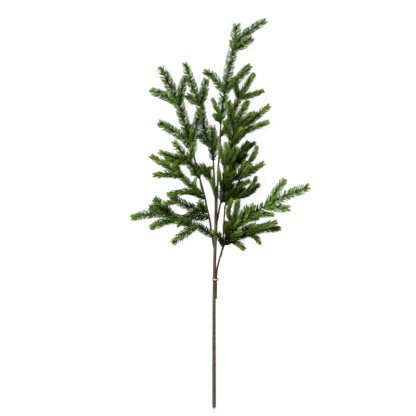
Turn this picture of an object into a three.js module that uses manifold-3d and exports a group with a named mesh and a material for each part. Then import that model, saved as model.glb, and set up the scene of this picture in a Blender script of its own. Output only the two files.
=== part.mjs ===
// A spruce branch, cut and laid on a table: a wrapped main stem, the thinner stems that come out of it,
// and the needled sprigs on those. Millimetres, +Z up. The table is z = 0, +Y runs from the cut end to the
// top needles, and the origin is on the table under the middle of the branch.
import * as THREE from "three";
import Module from "manifold-3d";

const wasm = await Module();
wasm.setup();

// Driving dimensions
const BRANCH_LENGTH = 900; // cut end to topmost needle
const FIT_GAP = 0.4; // left between pieces that touch

// Stems
const STEM_SIDES = 8;
const STEM_PITCH = 45; // between the rings of a stem's tube
const CORE_STUB = 3.2; // bare core that stands out of the main stem's cut end
const CORE_RADIUS = 1.9;

// Sprigs
const TWIG_SIDES = 3; // corners of a twig's core, each ring turned half a side from the last
const TWIG_PITCH = 28; // between the rings of a twig's core
const TWIG_RADIUS = 2.3; // of the core at its base
const TWIG_TAPER = 0.6; // core radius at the tip, as a share of the base
const TIP_NEEDLES = 6; // how far the needles reach past the core's end
const NEEDLE_LEAN = 0.8; // forward lean of a needle, as a share of its reach from the axis
const BASE_BARE = 11; // length of a twig's base with no needles
const TIP_ROUND = 1.1; // the needles close in over this share of their reach at the tip
const SHORTENING = [1, 0.85, 0.7, 0.55, 0.4, 0.25]; // tried in turn where a needle has no room
const AXIS_SAMPLE = 4; // between the points that stand for a twig's axis

// The collar that binds the low stem to the main one, and the tie over its middle. A profile point is a
// distance along the stems and a radius round both.
const TIE_AT = [215.1, 279.4, 34.6]; // column, row and height, as below
const TIE_RISE = 0.1; // slope of the stems there
const RING_SIDES = 20;
const COLLAR_PROFILE = [[-4, 7.25], [1.5, 7.25], [3, 7.6], [6, 7.25], [6, 6.85], [-4, 6.85]];
const TIE_PROFILE = [[-1.4, 8], [-1, 8.75], [1, 8.75], [1.4, 8], [1.1, 7.55], [-1.1, 7.55]];

// The branch is drawn on a grid seen from above: columns count to the right, and rows from the top needles
// down to the cut end. A point is a column, a row and a height above the table in millimetres.
const TOP_ROW = 19;
const CUT_ROW = 409;
const MIDDLE_COLUMN = 220.2;
const MIDDLE_ROW = (TOP_ROW + CUT_ROW) / 2;
const GRID_STEP = BRANCH_LENGTH / (CUT_ROW - TOP_ROW);

// Each stem: name, radius at its base and at its end, and the points that its axis goes through.
const STEMS = [
  ["main_stem", 4.5, 4, [[214, 409, 4.2], [214, 350, 17], [214.1, 300, 28], [214.7, 262, 37],
    [215.5, 236, 42], [216.2, 219.1, 46]]],
  ["centre_stem", 2, 1.7, [[215.3, 218.7, 45.3], [215.6, 205, 45.3], [214.9, 190, 45.3],
    [214.1, 176, 45], [213.4, 162, 44]]],
  ["leader_stem", 2, 1.6, [[216.3, 218.7, 49.7], [216.7, 208, 50.7], [217.4, 190, 51], [218.4, 165, 51],
    [219.9, 145, 51], [220.5, 130, 51.5], [221, 121, 52]]],
  ["right_stem", 2, 1.7, [[217.6, 218.7, 45.5], [219.5, 208, 48.7], [221.3, 199, 52.5], [222.8, 188, 55.5],
    [224.2, 177, 58], [226.2, 167, 60], [228.5, 159.5, 61.5]]],
  ["left_stem", 2.1, 1.7, [[213.3, 244, 35], [212.6, 238, 37.3], [211.3, 231, 41], [209.5, 219, 45.5],
    [207, 208, 48.5], [204.8, 197, 51.5], [202.2, 187, 54.5], [200, 179, 57]]],
  ["left_back_stem", 1.8, 1.5, [[201.4, 187, 49.3], [199.2, 175, 48.5], [196, 164, 47], [193, 152, 43.5],
    [190.8, 143, 42]]],
  ["low_stem", 2, 1.8, [[216, 299, 33.6], [216.2, 286, 36.5], [216.4, 276, 38.7], [217.4, 268, 40.3],
    [219.9, 257.5, 41.5], [222.6, 249, 41.8], [224.6, 243.5, 42.5], [227.2, 238.5, 43.5]]],
  ["inner_stem", 1.6, 1.4, [[221.7, 252.5, 45.8], [222.9, 243, 47], [223.4, 232, 48], [224, 220, 49],
    [224.9, 206, 50]]],
];

// Each sprig: name, tone from 0 (blue green) to 1 (yellow green), and its twigs. The first twig grows from a
// stem and the others from it. Each twig: reach of its needles from the axis, and the axis points.
const SPRIGS = [
  ["sprig_top", 0.35, [
    [16.5, [[221, 121, 52], [222, 110, 52.5], [223.5, 99, 53], [226, 86, 55], [229, 70, 57], [232.6, 52, 59],
      [235, 38, 61], [236.8, 23, 62]]],
    [14, [[233.5, 48, 59], [241, 38, 66], [252, 29, 70], [266.5, 20.2, 72]]],
    [13.5, [[233, 50, 59], [242.5, 45.5, 70], [252.5, 38, 80]]],
    [14, [[225.3, 93, 54], [219.5, 85.5, 52], [212, 75.5, 50], [203, 71, 46]]],
    [13.5, [[226, 90, 54], [235.5, 81, 38], [243, 73, 20], [250.5, 65, 3]]],
  ]],
  ["sprig_leader_left", 0.5, [
    [9.5, [[220.6, 125, 51.5], [218, 112, 46], [212, 98.5, 41]]],
    [8, [[220, 122, 50], [216.5, 119, 56], [213.5, 113.5, 61]]],
  ]],
  ["sprig_leader_right", 0.7, [
    [11.5, [[220.3, 137, 51], [225, 130, 46], [231, 117, 41], [236, 105, 39], [240, 97, 39],
      [246.5, 86, 38], [254.5, 73, 34]]],
    [11.5, [[238.6, 99.5, 39], [236.5, 90, 48], [232.5, 77.5, 56]]],
    [11, [[239, 98.5, 39], [250, 95.5, 40], [264, 90.5, 40]]],
  ]],
  ["sprig_right_upper", 0.75, [
    [13.5, [[228.5, 159.5, 61.5], [231, 150, 64], [233, 138, 66], [236, 127, 70], [240, 116, 80],
      [248, 100.5, 90]]],
    [13, [[234, 133, 68], [231.5, 117, 76], [228, 100.5, 84]]],
    [12, [[235.5, 129, 69], [246, 119.5, 73], [255.5, 112, 78]]],
    [12, [[234.5, 132, 68], [247, 124, 62], [258, 115, 58], [270, 105, 56]]],
    [11, [[233.5, 136, 66], [247, 130.5, 52], [258, 126, 45], [269, 121.5, 42]]],
    [9.5, [[232, 144, 65], [238, 139.5, 54], [244.5, 133.5, 46]]],
    [12, [[232.3, 142, 65.3], [227.5, 131, 72], [224.5, 120, 76]]],
    [12, [[231.5, 148, 64.5], [237, 139, 74], [242.5, 128, 80]]],
  ]],
  ["sprig_front", 0.75, [
    [12, [[223.4, 183, 56.5], [225.3, 175, 70], [226.6, 166, 81], [226.8, 155, 90], [226.2, 142.5, 96]]],
    [11.5, [[226.2, 169, 78], [222.5, 158, 86], [219, 145.5, 91]]],
    [13, [[226.6, 167, 80], [231.5, 158, 93], [236.8, 146.5, 101]]],
  ]],
  ["sprig_front_low", 0.7, [
    [12, [[222.4, 191, 55], [226, 185, 70], [228, 176.5, 84], [228.5, 166.5, 94]]],
    [8, [[223.2, 189.5, 60], [220, 180, 64], [218.3, 167, 66]]],
    [10, [[224.5, 188, 63], [230, 180, 72], [235, 171, 78]]],
  ]],
  ["sprig_right_mid", 0.45, [
    [11, [[224.3, 176.5, 58], [231, 169, 48], [239, 163, 40], [247, 163, 38], [253, 156.5, 40],
      [257.5, 146, 42]]],
    [10, [[233, 167, 46], [241, 150.5, 36], [248.5, 141.5, 32]]],
    [10, [[236, 165, 43], [246, 149.5, 18], [255, 142.5, 3]]],
    [13.5, [[235, 165.5, 44], [240, 158, 24], [247, 153, 3]]],
    [12, [[229, 171.3, 50.5], [233, 161, 44], [236.5, 151.5, 40]]],
    [11, [[237, 164.5, 41.5], [242, 158.5, 50], [245.5, 152.5, 55]]],
  ]],
  ["sprig_right_tip", 0.65, [
    [11, [[223, 186.5, 56], [231, 180, 60], [239, 177, 62], [247, 174, 62], [256, 168.5, 61],
      [264.5, 162.5, 60]]],
    [13.5, [[236, 178, 61.5], [242, 170, 72], [246.5, 161, 79]]],
    [11, [[229, 181.5, 59], [233, 172, 64], [237, 163.5, 67]]],
    [11, [[238, 177.3, 61.8], [246, 172, 69], [252, 165, 72]]],
  ]],
  ["sprig_right_dark", 0.6, [
    [9.5, [[224.9, 206, 50], [230, 200, 46], [238, 197, 42], [247.5, 191, 42], [253, 184, 44],
      [256.5, 176.5, 46]]],
    [9.5, [[237, 197.5, 42], [248, 194, 32], [260, 184, 28]]],
    [11.5, [[231, 199.5, 45.5], [239.5, 187, 44], [250, 180.5, 42]]],
    [14, [[233, 198.5, 44.5], [239, 193, 24], [244, 187, 3.5]]],
    [12, [[228, 202.5, 48], [230, 192, 53], [233, 183, 56]]],
    [12, [[230, 200, 46], [236, 190, 36], [241, 181, 28]]],
    [11, [[227, 203.8, 49], [226.5, 194, 44], [228, 184, 40]]],
  ]],
  ["sprig_inner_dark", 0.3, [
    [14, [[220.2, 204, 50.5], [225, 196.5, 40], [231, 187, 30]]],
    [13, [[221.2, 202.3, 48], [222, 194, 42], [224, 184, 36]]],
    [13, [[223.5, 199, 43.5], [229, 195, 34], [236, 190, 26]]],
  ]],
  ["sprig_centre_up", 0.25, [
    [14, [[213.4, 162, 44], [212.8, 153, 44], [211.5, 145.5, 43.5], [206.5, 137, 42], [203.5, 122, 43],
      [200.6, 107.5, 45], [199, 102, 45], [193, 87, 49], [184.5, 62, 53]]],
    [14, [[200.1, 105.4, 45], [203.5, 94, 45.5], [206.5, 78, 46]]],
    [13, [[199.6, 104, 45], [193, 100.5, 37], [186, 94.5, 31]]],
    [14, [[212.5, 150.5, 44], [213, 138, 51], [212.3, 125.5, 56]]],
    [13.5, [[211.6, 146, 43.5], [205, 140.5, 33], [198.5, 133.5, 26]]],
    [9.5, [[212.8, 152.5, 44], [216, 144, 54], [217.5, 136.5, 60]]],
  ]],
  ["sprig_left_top", 0.4, [
    [17, [[190.8, 143, 42], [187, 130, 43], [182.5, 117, 44], [178.8, 104, 46], [171, 88, 44],
      [160, 66.5, 42]]],
    [15, [[179, 105, 46], [167, 97, 28], [150.5, 90, 3]]],
    [14, [[179.2, 106, 46], [181.5, 91, 56], [185.5, 75.5, 63]]],
  ]],
  ["sprig_left_back", 0.4, [
    [15.5, [[192.6, 150.5, 43], [184.5, 138.5, 33], [173, 130.5, 20], [158, 122, 3.5]]],
    [13, [[189, 145, 38.5], [188, 135, 30], [189.5, 124, 26]]],
  ]],
  ["sprig_left_inner", 0.4, [
    [14, [[191.8, 147, 44.5], [193.5, 138, 50], [196.5, 126, 56], [199.5, 109.5, 60]]],
  ]],
  ["sprig_left_front", 0.75, [
    [14, [[200, 179, 57], [195, 171, 64], [190, 163.5, 70], [186.8, 159, 73], [180.5, 150.5, 77],
      [173, 140.5, 80]]],
    [13, [[189.2, 162.5, 71], [191.5, 153, 77], [195, 142.5, 80]]],
    [12.5, [[188, 161, 72], [175, 157.5, 84], [166, 154.5, 89], [158.5, 151.5, 92]]],
    [12, [[189, 162.5, 71], [177, 162, 66], [164.5, 160, 62]]],
  ]],
  ["sprig_left_mid", 0.65, [
    [12, [[204, 194, 52.5], [196, 190, 47], [188, 183, 44], [180.5, 175.5, 42], [167, 166, 39],
      [149.5, 155, 36]]],
    [12, [[182, 177, 42.5], [168, 174.5, 47], [152.5, 175, 50]]],
    [11, [[181, 176, 42], [177.5, 169.5, 30], [175, 162.5, 24]]],
    [9, [[195.5, 189.6, 46.8], [194.8, 184, 38], [195.5, 178.5, 32]]],
    [10, [[182, 177, 42.5], [179.5, 174.5, 54], [176.5, 173, 62]]],
  ]],
  ["sprig_left_arc", 0.4, [
    [11.5, [[205.3, 199.5, 51], [198, 195, 57], [189, 192, 63], [178, 192.5, 67], [167, 195, 68]]],
  ]],
  ["sprig_left_low", 0.3, [
    [13.5, [[208.1, 212.5, 47.5], [200, 210.5, 44], [188, 206, 44], [178, 201, 46], [169, 193, 50]]],
    [14, [[204, 211.8, 45.5], [202.5, 207, 58], [199, 201, 66]]],
    [13.5, [[199, 210.3, 43.7], [188, 217, 44], [176, 225.5, 44]]],
    [12, [[180, 202.2, 45.5], [172.5, 202, 38], [165, 204, 32]]],
  ]],
  ["sprig_left_outer", 0.35, [
    [14, [[209.4, 218.5, 45.5], [203, 217, 38], [195, 216.5, 31], [186, 218.5, 26], [177, 218, 22],
      [168, 214, 19], [157, 213.5, 15], [145, 214.5, 11], [130, 218, 4]]],
    [15.5, [[172, 215.8, 20.5], [163, 206.5, 32], [154, 197.5, 40]]],
    [13.5, [[167, 213.8, 18.5], [157.5, 208.5, 28], [148.5, 207.5, 34]]],
    [13.5, [[180, 218.4, 23], [165, 221.5, 13], [149.5, 228, 4]]],
    [14, [[169, 214.3, 19.5], [160, 208, 36], [153, 203, 46]]],
  ]],
  ["sprig_left_bottom", 0.4, [
    [14, [[215.4, 237, 42], [205, 230.5, 34], [197, 226.5, 28], [186, 232.5, 18], [171.5, 243.5, 4]]],
    [13, [[198.5, 227, 29], [190, 224.5, 18], [180, 222, 4]]],
  ]],
  ["sprig_right_bottom", 0.65, [
    [11.5, [[224, 245.2, 42], [231, 240.5, 37], [241, 236.5, 32], [251, 232.5, 27], [265, 229.5, 15],
      [280.5, 228.5, 4]]],
    [11, [[230, 241, 37.5], [238.5, 244, 29], [244.5, 250, 22]]],
    [10, [[247, 234.3, 29], [255, 237, 17], [260, 244, 4]]],
    [11, [[245, 235, 30], [261, 227, 36], [277, 222, 40]]],
    [12, [[236, 238.6, 34], [245, 230, 38], [256, 224.5, 40]]],
    [11, [[240, 236.8, 32.5], [249, 229.5, 24], [260, 226, 16]]],
    [12, [[228, 242.5, 39], [234, 236.5, 46], [242, 231, 52]]],
  ]],
  ["sprig_right_outer", 0.3, [
    [16, [[227.2, 238.5, 43.5], [235, 229, 52], [245, 218, 60], [257, 210.5, 64], [270, 204, 66],
      [285, 196, 69], [310, 186.5, 71]]],
    [14, [[266, 206, 65.3], [275, 193, 61], [285, 178.5, 56]]],
    [13, [[264, 207, 65], [278, 208, 59], [290, 208.5, 54]]],
    [11, [[250, 214.5, 62], [262, 214.5, 52], [274, 214.5, 44]]],
    [14, [[241, 222, 57], [244, 214, 74], [248, 206, 84]]],
    [13, [[248, 215.8, 61.3], [251, 209.5, 72], [254.5, 204.5, 78]]],
    [12, [[238.5, 225, 55], [248, 219.5, 50], [259, 217.5, 46]]],
    [12, [[232, 232.5, 49], [238, 222, 42], [243, 212.5, 36]]],
  ]],
  ["sprig_right_inner", 0.65, [
    [11.5, [[225.6, 241.5, 43], [228.5, 233, 54], [232, 223, 61], [236, 212, 68], [238, 199.5, 74]]],
    [9.5, [[231.5, 224.5, 60], [228.5, 211, 60], [232, 198.5, 62]]],
    [12, [[227.4, 236.3, 50], [225.9, 229.5, 44], [226.5, 221, 38]]],
    [11, [[229.5, 230.3, 56], [234.5, 226, 62], [240, 220, 66]]],
  ]],
  ["sprig_cross", 0.4, [
    [12, [[223.3, 247, 42], [221.5, 240.5, 56], [218, 235, 63], [211.5, 231.5, 67]]],
  ]],
  ["sprig_centre_low", 0.7, [
    [9.5, [[217, 199.5, 51], [214.9, 191, 58], [211, 180.5, 63]]],
  ]],
  ["sprig_centre_left", 0.45, [
    [13, [[214.5, 184, 45.3], [209.5, 177.5, 39], [203, 170, 33], [195, 166, 28]]],
    [11, [[208, 175.8, 37.5], [209.5, 170.5, 43], [212.5, 167, 48]]],
    [12, [[210, 178, 39.5], [205.5, 170.5, 46], [201, 164.5, 50]]],
    [12, [[205, 172.3, 35.5], [199, 172.5, 30], [191, 173.5, 24]]],
  ]],
];

// Colours of the finished pieces
const BARK_COLOUR = 0x62523c;
const TIE_COLOUR = 0xd9d9d4;
const BLUE_GREEN = new THREE.Color(0x4a6b3a);
const YELLOW_GREEN = new THREE.Color(0x5f7a2c);

function place([column, row, height]) {
  return new THREE.Vector3((column - MIDDLE_COLUMN) * GRID_STEP, (MIDDLE_ROW - row) * GRID_STEP, height);
}

// The axis of a stem or twig: a smooth curve through its points that can be read at any distance along it.
class Axis {
  static FRAMES = 64;

  constructor(route) {
    this.curve = new THREE.CatmullRomCurve3(route.map(place), false, "centripetal");
    this.length = this.curve.getLength();
    this.frames = this.curve.computeFrenetFrames(Axis.FRAMES, false);
  }

  // The point at a distance along the axis, moved out by a radius at an angle round it.
  point(distance, radius = 0, angle = 0) {
    const share = THREE.MathUtils.clamp(distance / this.length, 0, 1);
    const frame = Math.round(share * Axis.FRAMES);
    return this.curve
      .getPointAt(share)
      .addScaledVector(this.frames.tangents[frame], distance - share * this.length)
      .addScaledVector(this.frames.normals[frame], radius * Math.cos(angle))
      .addScaledVector(this.frames.binormals[frame], radius * Math.sin(angle));
  }

  samples() {
    return this.curve.getSpacedPoints(Math.max(2, Math.ceil(this.length / AXIS_SAMPLE)));
  }
}

function manifoldFrom(points, triangles) {
  const mesh = new wasm.Mesh({
    numProp: 3,
    vertProperties: new Float32Array(points.flatMap((p) => p.toArray())),
    triVerts: new Uint32Array(triangles.flat()),
  });
  return new wasm.Manifold(mesh);
}

function geometryFrom(solid) {
  const mesh = solid.getMesh();
  const positions = new Float32Array(mesh.numVert * 3);
  for (let v = 0; v < mesh.numVert; v++) {
    positions.set(mesh.vertProperties.subarray(v * mesh.numProp, v * mesh.numProp + 3), v * 3);
  }
  const geometry = new THREE.BufferGeometry();
  geometry.setAttribute("position", new THREE.BufferAttribute(positions, 3));
  geometry.setIndex(new THREE.BufferAttribute(mesh.triVerts, 1));
  geometry.computeVertexNormals();
  return geometry;
}

// The corners of a ring round an axis, as indexes into points, which grows.
function addRing(points, sides, pointAt) {
  return Array.from({ length: sides }, (_, side) => points.push(pointAt((side * 2 * Math.PI) / sides)) - 1);
}

function addCap(triangles, ring, outward) {
  for (let side = 1; side < ring.length - 1; side++) {
    const [first, second] = outward ? [side, side + 1] : [side + 1, side];
    triangles.push([ring[0], ring[first], ring[second]]);
  }
}

// A stem: a tapered tube with flat ends, after a stub of bare core if it has one, grown by a margin.
function stemSolid({ axis, baseRadius, endRadius, stub }, margin) {
  const points = [];
  const triangles = [];
  const steps = Math.max(2, Math.round(axis.length / STEM_PITCH));
  const rings = Array.from({ length: steps + 1 }, (_, step) => {
    const distance = THREE.MathUtils.lerp(stub - margin, axis.length + margin, step / steps);
    return [distance, THREE.MathUtils.lerp(baseRadius, endRadius, step / steps) + margin];
  });
  if (stub) rings.unshift([-margin, CORE_RADIUS + margin], [stub - margin, CORE_RADIUS + margin]);
  const tube = rings.map(([distance, radius]) =>
    addRing(points, STEM_SIDES, (angle) => axis.point(distance, radius, angle)),
  );
  tube.slice(1).forEach((upper, ring) => {
    const lower = tube[ring];
    for (let side = 0; side < STEM_SIDES; side++) {
      const next = (side + 1) % STEM_SIDES;
      triangles.push([lower[side], lower[next], upper[next]], [lower[side], upper[next], upper[side]]);
    }
  });
  addCap(triangles, tube[0], false);
  addCap(triangles, tube.at(-1), true);
  return manifoldFrom(points, triangles);
}

// How far the needles reach from a twig's axis at a distance along it, closing to a round end at the tip.
function reachAt(axis, reach, distance) {
  return reach * Math.sqrt(THREE.MathUtils.clamp((axis.length - distance) / (TIP_ROUND * reach), 0.06, 1));
}

// A twig: a tapered core of turned rings, with a needle raised on each of its triangles. hasRoom says whether
// a needle's tip is clear of the other pieces.
function twigSolid(axis, reach, hasRoom) {
  const points = [];
  const triangles = [];
  const coreLength = axis.length - TIP_NEEDLES;
  const rings = Math.max(2, Math.round(coreLength / TWIG_PITCH));
  const pitch = coreLength / rings;
  const halfSide = Math.PI / TWIG_SIDES;
  const core = Array.from({ length: rings + 1 }, (_, ring) => {
    const radius = TWIG_RADIUS * THREE.MathUtils.lerp(1, TWIG_TAPER, ring / rings);
    return addRing(points, TWIG_SIDES, (angle) => axis.point(ring * pitch, radius, angle + ring * halfSide));
  });

  // The tip of a needle that starts at a distance and an angle, or nothing where it would touch a piece.
  const needleTip = (distance, angle) => {
    for (const share of SHORTENING) {
      const along = Math.min(distance + NEEDLE_LEAN * reach * share, axis.length);
      const out = Math.max(reachAt(axis, reach, along) * share, TWIG_RADIUS);
      const tip = axis.point(along, out, angle);
      tip.z = Math.max(tip.z, 0);
      if (hasRoom(tip)) return tip;
    }
    return null;
  };
  const addNeedle = (corners, distance, angle) => {
    const tip = distance < BASE_BARE ? null : needleTip(distance, angle);
    if (!tip) {
      triangles.push(corners);
      return;
    }
    const apex = points.push(tip) - 1;
    corners.forEach((corner, i) => triangles.push([corner, corners[(i + 1) % 3], apex]));
  };
  core.slice(1).forEach((upper, ring) => {
    const lower = core[ring];
    for (let side = 0; side < TWIG_SIDES; side++) {
      const next = (side + 1) % TWIG_SIDES;
      const angle = (side * 2 + ring) * halfSide;
      addNeedle([lower[side], lower[next], upper[side]], (ring + 1 / 3) * pitch, angle + halfSide);
      addNeedle([lower[next], upper[next], upper[side]], (ring + 2 / 3) * pitch, angle + 2 * halfSide);
    }
  });
  addCap(triangles, core[0], false);
  const bud = points.push(axis.point(axis.length - TIP_NEEDLES / 2)) - 1;
  for (let side = 0; side < TWIG_SIDES; side++) {
    triangles.push([core[rings][side], core[rings][(side + 1) % TWIG_SIDES], bud]);
  }
  return manifoldFrom(points, triangles);
}

const nearest = (point, places) => Math.sqrt(Math.min(...places.map((p) => p.distanceToSquared(point))));

const stems = STEMS.map(([name, baseRadius, endRadius, route]) => {
  const axis = new Axis(route);
  const stub = name === "main_stem" ? CORE_STUB : 0;
  return { name, axis, baseRadius, endRadius, stub, samples: axis.samples() };
});
const sprigs = SPRIGS.map(([name, tone, routes]) => {
  const twigs = routes.map(([reach, route]) => {
    const axis = new Axis(route);
    return { reach, axis, samples: axis.samples() };
  });
  return { name, tone, twigs };
});
const twigs = sprigs.flatMap((sprig) => sprig.twigs);

// A needle's tip has room where it is nearer to its own twig than to any other, and outside every stem.
function roomFor(own) {
  const others = twigs.filter((twig) => twig !== own).flatMap((twig) => twig.samples);
  return (tip) =>
    nearest(tip, own.samples) + 2 * FIT_GAP < nearest(tip, others) &&
    stems.every((stem) => nearest(tip, stem.samples) > stem.baseRadius + 2 * FIT_GAP);
}

// Stems grown by the gap, which a sprig is cut to fit round.
const seats = wasm.Manifold.union(stems.map((stem) => stemSolid(stem, FIT_GAP)));

function sprigSolid(sprig) {
  const solids = sprig.twigs.map((twig) => twigSolid(twig.axis, twig.reach, roomFor(twig)));
  const bodies = wasm.Manifold.union(solids).subtract(seats).decompose();
  return bodies.reduce((largest, body) => (body.volume() > largest.volume() ? body : largest));
}

// A ring round both stems: a closed profile turned about the Y axis.
function ringGeometry(profile) {
  const outline = [...profile, profile[0]].map(([along, radius]) => new THREE.Vector2(radius, along));
  return new THREE.LatheGeometry(outline, RING_SIDES);
}

function addPiece(parent, name, geometry, colour, roughness) {
  const material = new THREE.MeshStandardMaterial({ color: colour, roughness, metalness: 0 });
  const piece = new THREE.Mesh(geometry, material);
  piece.name = name;
  parent.add(piece);
}

const branch = new THREE.Group();
for (const stem of stems) {
  addPiece(branch, stem.name, geometryFrom(stemSolid(stem, 0)), BARK_COLOUR, 0.85);
}
for (const sprig of sprigs) {
  const colour = BLUE_GREEN.clone().lerp(YELLOW_GREEN, sprig.tone);
  addPiece(branch, sprig.name, geometryFrom(sprigSolid(sprig)), colour, 0.6);
}
const binding = new THREE.Group();
binding.position.copy(place(TIE_AT));
binding.rotation.x = Math.atan(TIE_RISE);
addPiece(binding, "collar", ringGeometry(COLLAR_PROFILE), BARK_COLOUR, 0.85);
addPiece(binding, "tie", ringGeometry(TIE_PROFILE), TIE_COLOUR, 0.4);
branch.add(binding);

export default branch;
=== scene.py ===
"""A cut spruce spray laid on a pale table and seen from straight above, dressed around its solid model."""

import math

import bpy
import numpy as np
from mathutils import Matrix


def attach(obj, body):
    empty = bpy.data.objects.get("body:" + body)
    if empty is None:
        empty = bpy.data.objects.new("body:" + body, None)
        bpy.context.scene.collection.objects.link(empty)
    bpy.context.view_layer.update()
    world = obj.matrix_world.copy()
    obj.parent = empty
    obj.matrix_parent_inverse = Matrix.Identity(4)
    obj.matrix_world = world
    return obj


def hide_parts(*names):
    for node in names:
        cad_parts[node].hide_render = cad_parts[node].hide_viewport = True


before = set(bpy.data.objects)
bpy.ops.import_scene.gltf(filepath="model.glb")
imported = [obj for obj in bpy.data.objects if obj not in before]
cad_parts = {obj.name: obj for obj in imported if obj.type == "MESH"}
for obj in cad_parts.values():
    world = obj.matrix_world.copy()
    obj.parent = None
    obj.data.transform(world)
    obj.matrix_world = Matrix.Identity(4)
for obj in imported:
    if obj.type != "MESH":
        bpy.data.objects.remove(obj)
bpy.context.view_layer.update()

# The stems: one thick main stem and the thin ones that leave it. Each is a wire wound with a brown paper
# tape whose turns overlap like roof tiles. The wire's bare end stands out of the main stem's cut.
BRANCH_LENGTH = 900  # millimetres, as are all sizes here
METRE = 1000
TOP_ROW = 19
CUT_ROW = 409
MIDDLE_COLUMN = 220.2
MIDDLE_ROW = (TOP_ROW + CUT_ROW) / 2
GRID_STEP = BRANCH_LENGTH / (CUT_ROW - TOP_ROW)
CURVE_STEPS = 40  # on each span of a curve
STEM_SIDES = 20
STEM_SPACING = 0.9  # between the rings of a stem's skin
TAPE_PITCH = 2.0  # between turns of the tape, as a share of the stem's radius
TAPE_STEP = 0.075  # how far a turn's edge stands proud, as a share of the stem's radius
CORE_STUB = 3.2  # bare wire past the wrapping
CORE_RADIUS = 1.9  # of that wire
TAPE_BUILD = 0.5  # what the tape adds to the radius of a thin stem
TAPE_LIGHT = (0.125, 0.088, 0.050, 1)
TAPE_DARK = (0.050, 0.034, 0.017, 1)
TAPE_STEP_SHADE = (0.025, 0.016, 0.008, 1)
THIN_TAPE = (0.030, 0.019, 0.008, 1)
THIN_SHARE = 0.65  # how far the tape of a thin stem goes towards that colour
CORE_COLOUR = (0.030, 0.026, 0.014, 1)

# Each stem: name, radius at its base and at its end, and the points that its axis goes through. A point is a
# column and a row of the grid that the branch is drawn on, and a height above the table.
STEMS = [
    ["main_stem", 4.5, 4, [[214, 409, 4.2], [214, 350, 17], [214.1, 300, 28], [214.7, 262, 37],
        [215.5, 236, 42], [216.2, 219.1, 46]]],
    ["centre_stem", 2, 1.7, [[215.3, 218.7, 45.3], [215.6, 205, 45.3], [214.9, 190, 45.3],
        [214.1, 176, 45], [213.4, 162, 44]]],
    ["leader_stem", 2, 1.6, [[216.3, 218.7, 49.7], [216.7, 208, 50.7], [217.4, 190, 51], [218.4, 165, 51],
        [219.9, 145, 51], [220.5, 130, 51.5], [221, 121, 52]]],
    ["right_stem", 2, 1.7, [[217.6, 218.7, 45.5], [219.5, 208, 48.7], [221.3, 199, 52.5], [222.8, 188, 55.5],
        [224.2, 177, 58], [226.2, 167, 60], [228.5, 159.5, 61.5]]],
    ["left_stem", 2.1, 1.7, [[213.3, 244, 35], [212.6, 238, 37.3], [211.3, 231, 41], [209.5, 219, 45.5],
        [207, 208, 48.5], [204.8, 197, 51.5], [202.2, 187, 54.5], [200, 179, 57]]],
    ["left_back_stem", 1.8, 1.5, [[201.4, 187, 49.3], [199.2, 175, 48.5], [196, 164, 47], [193, 152, 43.5],
        [190.8, 143, 42]]],
    ["low_stem", 2, 1.8, [[216, 299, 33.6], [216.2, 286, 36.5], [216.4, 276, 38.7], [217.4, 268, 40.3],
        [219.9, 257.5, 41.5], [222.6, 249, 41.8], [224.6, 243.5, 42.5], [227.2, 238.5, 43.5]]],
    ["inner_stem", 1.6, 1.4, [[221.7, 252.5, 45.8], [222.9, 243, 47], [223.4, 232, 48], [224, 220, 49],
        [224.9, 206, 50]]],
]

# Where a thin stem starts, inside the stem that carries it. The low stem has a cut end that shows.
ROOTS = {
    "centre_stem": [215.8, 224, 45],
    "leader_stem": [216, 225, 46],
    "right_stem": [216.2, 224, 45],
    "left_stem": [214.8, 250, 38],
    "left_back_stem": [203, 192, 52.5],
    "inner_stem": [220.5, 256.5, 41.6],
}


def unit(vectors):
    """Each vector divided by its length."""
    return vectors / np.linalg.norm(vectors, axis=-1, keepdims=True)


def from_grid(points):
    """Places in millimetres from columns, rows and heights. Columns run with +X and rows against +Y."""
    return (np.array(points) - (MIDDLE_COLUMN, MIDDLE_ROW, 0)) * (GRID_STEP, -GRID_STEP, 1)


def read_off(vectors, places, wanted):
    """Vectors known at places along a curve, read off at wanted places between them by straight blending."""
    return np.stack([np.interp(wanted, places, column) for column in vectors.T], axis=1)


def curve_through(route, spacing):
    """Evenly spaced points on a smooth curve through a route, and how far along it each one is. Each span is
    a cubic that passes through its two ends with slopes set by their neighbours, the spans timed by the
    square roots of their lengths."""
    knots = from_grid(route)
    knots = np.vstack([2 * knots[0] - knots[1], knots, 2 * knots[-1] - knots[-2]])
    before, start, stop, after = knots[:-3], knots[1:-2], knots[2:-1], knots[3:]
    times = np.sqrt(np.linalg.norm(np.diff(knots, axis=0), axis=1, keepdims=True))
    time_in, time, time_out = times[:-2], times[1:-1], times[2:]
    chord = (stop - start) / time
    leave = time * ((start - before) / time_in - (stop - before) / (time_in + time) + chord)
    arrive = time * (chord - (after - start) / (time + time_out) + (after - stop) / time_out)
    u = np.linspace(0, 1, CURVE_STEPS)[None, :, None]
    path = (2 * u**3 - 3 * u**2 + 1) * start[:, None] + (3 * u**2 - 2 * u**3) * stop[:, None]
    path = path + (u**3 - 2 * u**2 + u) * leave[:, None] + (u**3 - u**2) * arrive[:, None]
    path = path.reshape(-1, 3)
    reached = np.r_[0, np.cumsum(np.linalg.norm(np.diff(path, axis=0), axis=1))]
    places = np.linspace(0, reached[-1], max(3, round(reached[-1] / spacing) + 1))
    return read_off(path, reached, places), places


def frame_along(points):
    """At each point of a curve: the way ahead, the level way to its right, and the way up from both."""
    ahead = unit(np.gradient(points, axis=0))
    right = unit(np.cross(ahead, (0, 0, 1)))
    return ahead, right, np.cross(right, ahead)


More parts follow.
